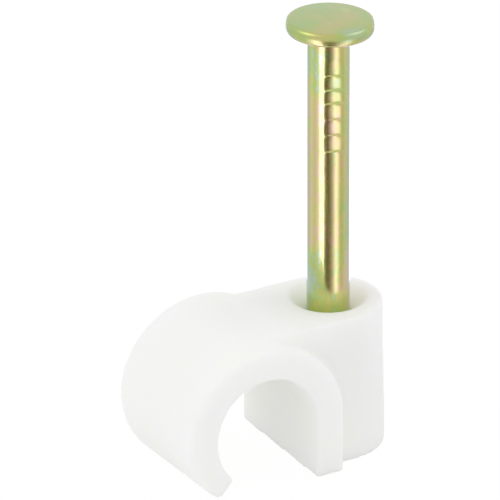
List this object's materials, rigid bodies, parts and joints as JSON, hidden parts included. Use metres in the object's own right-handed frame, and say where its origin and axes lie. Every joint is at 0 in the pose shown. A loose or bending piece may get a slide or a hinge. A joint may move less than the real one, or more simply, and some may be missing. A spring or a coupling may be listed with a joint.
{
  "type": "nail-in cable clip",
  "caption": "Moulded plastic clip with a C-shaped hook for a round cable and a boss that holds a round-headed steel nail, ready to be driven into a wall.",
  "frame": {"origin": "middle of the bounding box, on the wall face that the clip is nailed against", "axes": "+Z out of the wall, along the nail towards its head; the cable runs along Y; the nail is on the +X side and the hook on the -X side"},
  "size_m": [0.0118, 0.0068, 0.0212],
  "materials": {
    "clip_plastic": "white moulded polyethylene or polypropylene, satin, slightly see-through at its edges",
    "nail_steel": "hardened steel wire with a bright yellow passivated zinc coat that shimmers green, yellow, pink and blue"
  },
  "bodies": {
    "clip": {"clip_body": "clip_plastic"},
    "driven_nail": {"nail": "nail_steel"}
  },
  "joints": [
    {"name": "nail_drive", "type": "slide", "parent": "clip", "child": "driven_nail", "axis": [0, 0, -1], "range_m": [0, 0.0132]}
  ]
}
